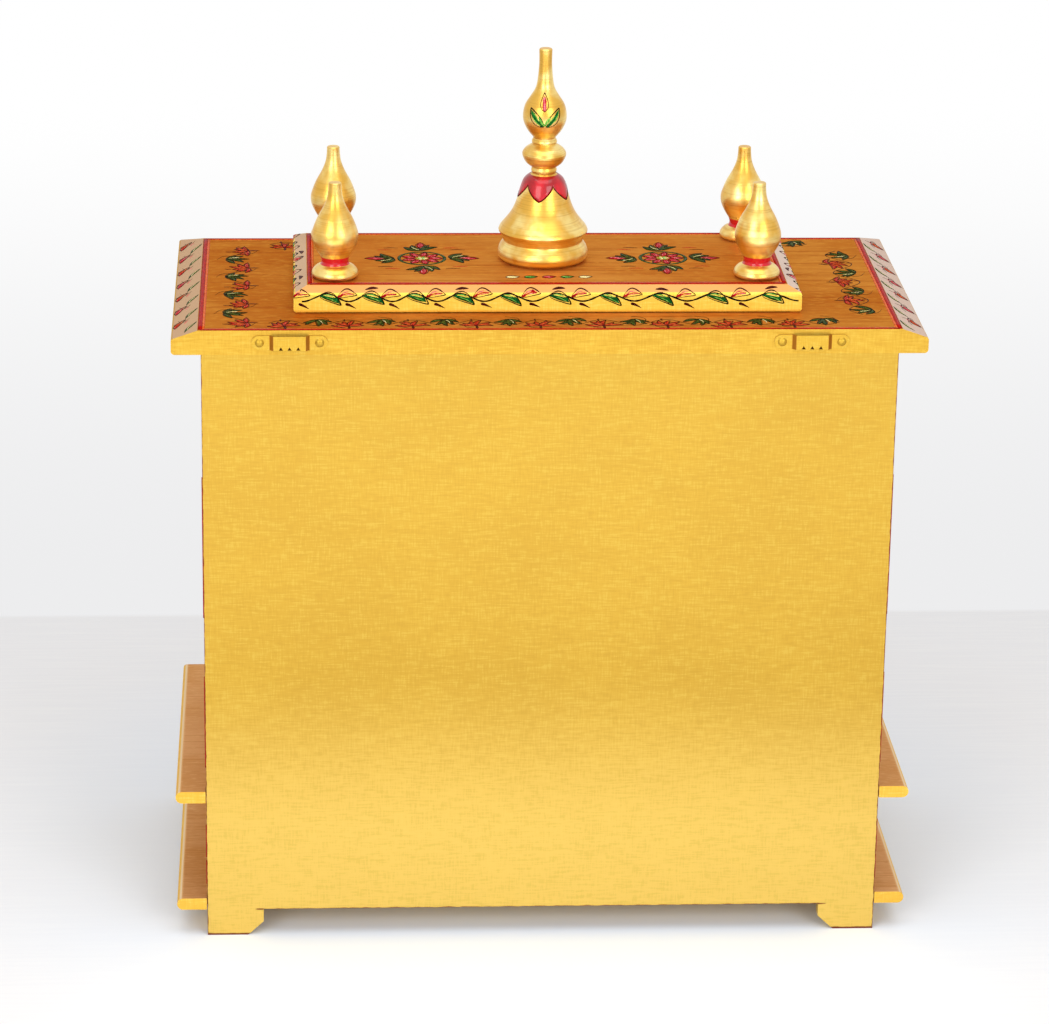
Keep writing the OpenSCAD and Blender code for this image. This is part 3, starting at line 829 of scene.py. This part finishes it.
for side in (-1, 1):
    markSlope(roofWork, roofTop, side, slopeMarks)
frontSlope = at((-190, roofDeep + 7))
for k in range(14):
    mark(roofWork, roofTop, at(frontSlope(29 * k, 0), 25), [(-6, 0), (0, 1), (6, 0)], 1.2, "darkGreenEnamel")
    leaf(roofWork, roofTop, at(frontSlope(29 * k + 9, 2), 10), 11, 1.7, redLeaf, 0.8, 0.3)
finishWork(roofWork)


# the raised tier's top: line, two medallions and a row of small ovals, in mm
medallion = {"apart": 74, "ring": 14, "ringWidth": 1.2, "petals": 9, "spray": 17, "reach": 13, "bud": 27}
tierBevel = 8
tierLay = surfaceOf("upper_tier", "top")
topWork = newWork("tierTopFlowers")
flatX = tierWide - tierBevel
nearV, farV = backY - tierBackY + tierBevel, backY - tierFrontY - tierBevel
borderLine(topWork, tierLay, -flatX + 1.7, flatX - 1.7, nearV + 2.4, farV - 1.7, 1.9, 1.4, 2.6)
for side in (-1, 1):
    hub = (side * medallion["apart"], (nearV + farV) / 2)
    circle = [at(hub, 12 * i)(medallion["ring"], 0) for i in range(31)]
    stroke(topWork, tierLay, circle, medallion["ringWidth"], "darkGreenEnamel", 0.2)
    for i in range(medallion["petals"]):
        turn = 360 / medallion["petals"] * i
        leaf(topWork, tierLay, at(at(hub, turn)(4, 0), turn), 9, 2.7, redLeaf, 0.95, 0.42, 0)
    for i in range(6):
        mark(topWork, tierLay, at(hub, 60 * i), [(0.3, 0), (1.8, 0.2), (3.6, 0)], 1.0,
             "leafLightEnamel" if i % 2 else "paleEnamel", 0.24)
    for turn in (0, 90, 180, 270):
        start = at(hub, turn)(medallion["spray"], 0)
        for fan in (-52, -24, 24, 52):
            leaf(topWork, tierLay, at(start, turn + fan), medallion["reach"], 2.5, deckLeaf, 0.95, 0.4)
        mark(topWork, tierLay, at(start, turn + 35), [(2, 0), (6, 0.8), (10, 0)], 0.45, "paleEnamel", 0.28)
        leaf(topWork, tierLay, at(at(hub, turn)(medallion["bud"] - 5, 0), turn), 13, 3.2, redLeaf, 0.95, 0.32, 0)
        for lift in (-1, 1):
            mark(topWork, tierLay, at(at(hub, turn + 45)(29, 3 * lift), 0), [(-4.5, 0), (0, 0.8), (4.5, 0)], 0.7,
                 "maroonEnamel" if lift < 0 else "redEnamel")
rowTints = [("paleEnamel", "paleEnamel", "brownEnamel"), greenLeaf, redLeaf, greenLeaf,
            ("paleEnamel", "paleEnamel", "brownEnamel")]
for i, tints in enumerate(rowTints):
    leaf(topWork, tierLay, at((1.5 + (i - 2) * 11 - 4.2, nearV + 16), 6), 8.4, 2.7, tints, 0.9, 0.4, 0)
finishWork(topWork)


# central finial: three leaves on the ball and a collar of red petals on the bell, in mm above the deck
spireLow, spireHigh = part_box("central_finial")
spireAxis = ((spireLow[0] + spireHigh[0]) / 2 / mm, (spireLow[1] + spireHigh[1]) / 2 / mm)
spire = {
    "ballRadius": 13.2, "leafFoot": 85.5, "leafLength": 14.5, "petalFoot": 95, "petalLength": 10.5,
    "collarTop": 53.4, "valley": 48.5, "tip": 39.5, "collarRadius": 14.5, "petals": 5, "turn": 25,
}
ballLay = surfaceOf("central_finial", "round", spireAxis, spire["ballRadius"])
spireWork = newWork("spireFlower")
for turn in (0, 180):
    middle = math.radians(turn) * spire["ballRadius"]
    foot = tierTop + spire["leafFoot"]
    leaf(spireWork, ballLay, at((middle - 1.6, foot), 130), spire["leafLength"], 2.9, greenLeaf, 0.9, 0.42, 0.04)
    leaf(spireWork, ballLay, at((middle + 0.2, foot), 50), spire["leafLength"], 2.9, greenLeaf, 0.9, 0.42, -0.04)
    for heading in (122, 58):
        mark(spireWork, ballLay, at((middle - 0.7, foot + 0.6), heading), [(0, 0), (3.2, 0.4), (7, 0)], 1.0,
             "leafLightEnamel", 0.3)
    leaf(spireWork, ballLay, at((middle - 1.0, tierTop + spire["petalFoot"]), 92), spire["petalLength"], 3.0,
         ("pinkEnamel", "redEnamel", "maroonEnamel"), 0.8, 0.4, 0)
finishWork(spireWork)


def makeCollar(spec):
    # glossy petals that hang from the neck; the rows are closer near the neck, where the bell curves in
    lay = surfaceOf("central_finial", "round", spireAxis, spec["collarRadius"])
    around, down = 180, 14
    whole = 2 * math.pi * spec["collarRadius"]
    top = tierTop + spec["collarTop"]
    work = newWork("spireCollar")

    def lowerEdge(i):
        petal = abs(math.sin(spec["petals"] * (math.pi * i / around + math.radians(spec["turn"]))))
        return tierTop + spec["valley"] - (spec["valley"] - spec["tip"]) * (1 - (1 - petal ** 0.7) ** 0.65)

    for i in range(around):
        u = whole * i / around
        heights = [top + (lowerEdge(i) - top) * (j / down) ** 2 for j in range(down + 1)]
        work["points"] += [lay(u, v, 0.24 if j < down else -0.05) for j, v in enumerate(heights)]
        work["points"] += [lay(u, v, -0.25) for v in heights]
    ring = 2 * (down + 1)
    loop = list(range(down + 1)) + list(range(2 * down + 1, down, -1))
    for i in range(around):
        a, b = i * ring, ((i + 1) % around) * ring
        for j, here in enumerate(loop):
            there = loop[(j + 1) % len(loop)]
            work["faces"].append((a + here, a + there, b + there, b + here))
            work["tints"].append(paintNames.index("redLacquer"))
    outline = [(whole * i / around, lowerEdge(i)) for i in range(around + 1)]
    stroke(work, lay, outline, 0.4, "maroonEnamel", 0.3)
    finishWork(work)


makeCollar(spire)


# front: the same red lines and flowers on the base and along the arch, in mm
frontBorder = {
    "inset": 8, "rise": 7, "line": 1.3, "soft": 0.9, "vineIn": 28, "bends": 15, "swing": 7, "flower": 9.5,
    "archDown": 15, "archIn": 14, "archGap": 46, "archBends": 5, "archSwing": 4, "archFlower": 7,
}
frontWork = newWork("frontFlowers")
frontLow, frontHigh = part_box("base_front_panel")
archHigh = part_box("arch_panel")[1]
baseLay, archLay = surfaceOf("base_front_panel", "front"), surfaceOf("arch_panel", "front")
baseLow, baseTop, baseHalf = frontLow[2] / mm, frontHigh[2] / mm, frontHigh[0] / mm
borderLine(frontWork, baseLay, -baseHalf + frontBorder["inset"], baseHalf - frontBorder["inset"],
           baseLow + frontBorder["rise"], baseTop - frontBorder["rise"], frontBorder["line"],
           frontBorder["soft"], frontBorder["line"])
baseVine = baseHalf - frontBorder["vineIn"]
baseMid = (baseLow + baseTop) / 2
creeper(frontWork, baseLay, (-baseVine, baseMid), (baseVine, baseMid), frontBorder["bends"],
        frontBorder["swing"], frontBorder["flower"])
archZ = archHigh[2] / mm - frontBorder["archDown"]
archEnd = archHigh[0] / mm - frontBorder["archIn"]
for start, end, first in ((-archEnd, -frontBorder["archGap"], "flower"),
                          (frontBorder["archGap"], archEnd, "sprig")):
    creeper(frontWork, archLay, (start, archZ), (end, archZ), frontBorder["archBends"], frontBorder["archSwing"],
            frontBorder["archFlower"], first)
finishWork(frontWork)


# sides: a red frame, two creepers and a star of leaves on each panel, one creeper on each base side, in mm
sideBorder = {
    "inset": 9, "foot": 10, "head": 12, "line": 1.5, "soft": 1.0,
    "vineApart": 46, "vineFoot": 26, "vineHead": 28, "bends": 11, "swing": 5, "flower": 9,
    "starLeaves": 8, "starStart": 5, "starLength": 17, "starWidth": 4.2,
    "baseIn": 14, "baseBends": 7, "baseSwing": 6,
}


def sideExtent(name, facing):
    # left and right edge as seen, then foot and head
    low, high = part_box(name)
    flip = -1 if facing == "left" else 1
    return (*sorted((flip * low[1] / mm, flip * high[1] / mm)), low[2] / mm, high[2] / mm)


sideWork = newWork("sideFlowers")
for name, facing in (("side_panel_left", "left"), ("side_panel_right", "right")):
    lay = surfaceOf(name, facing)
    near, far, bottom, top = sideExtent(name, facing)
    borderLine(sideWork, lay, near + sideBorder["inset"], far - sideBorder["inset"], bottom + sideBorder["foot"],
               top - sideBorder["head"], sideBorder["line"], sideBorder["soft"], sideBorder["line"])
    middle = ((near + far) / 2, (bottom + top) / 2)
    for reach in (-sideBorder["vineApart"], sideBorder["vineApart"]):
        creeper(sideWork, lay, (middle[0] + reach, bottom + sideBorder["vineFoot"]),
                (middle[0] + reach, top - sideBorder["vineHead"]), sideBorder["bends"], sideBorder["swing"],
                sideBorder["flower"])
    for k in range(sideBorder["starLeaves"]):
        turn = 360 / sideBorder["starLeaves"] * k
        leaf(sideWork, lay, at(at(middle, turn)(sideBorder["starStart"], 0), turn), sideBorder["starLength"],
             sideBorder["starWidth"], redLeaf if k % 2 else greenLeaf, 0.9, 0.45, 0)
for name, facing in (("base_side_left", "left"), ("base_side_right", "right")):
    near, far, bottom, top = sideExtent(name, facing)
    height = (bottom + top) / 2
    creeper(sideWork, surfaceOf(name, facing), (near + sideBorder["baseIn"], height),
            (far - sideBorder["baseIn"], height), sideBorder["baseBends"], sideBorder["baseSwing"],
            sideBorder["flower"])
# runs of the red paint that went over the rear panel's edge: height, length and half-width
edgeRuns = ((34, 16, 1.1), (52, 22, 1.4), (112, 60, 0.4), (210, 90, 0.35))
for facing in ("left", "right"):
    lay = surfaceOf("back_panel", facing)
    edge = (1 if facing == "right" else -1) * (backY - 1.6)
    for bottom, length, width in edgeRuns:
        mark(sideWork, lay, at((edge, bottom), 90), [(0, 0), (length * 0.4, 0.2), (length, 0)], width,
             "redEnamel", 0.5)
finishWork(sideWork)
print("decoration painted")
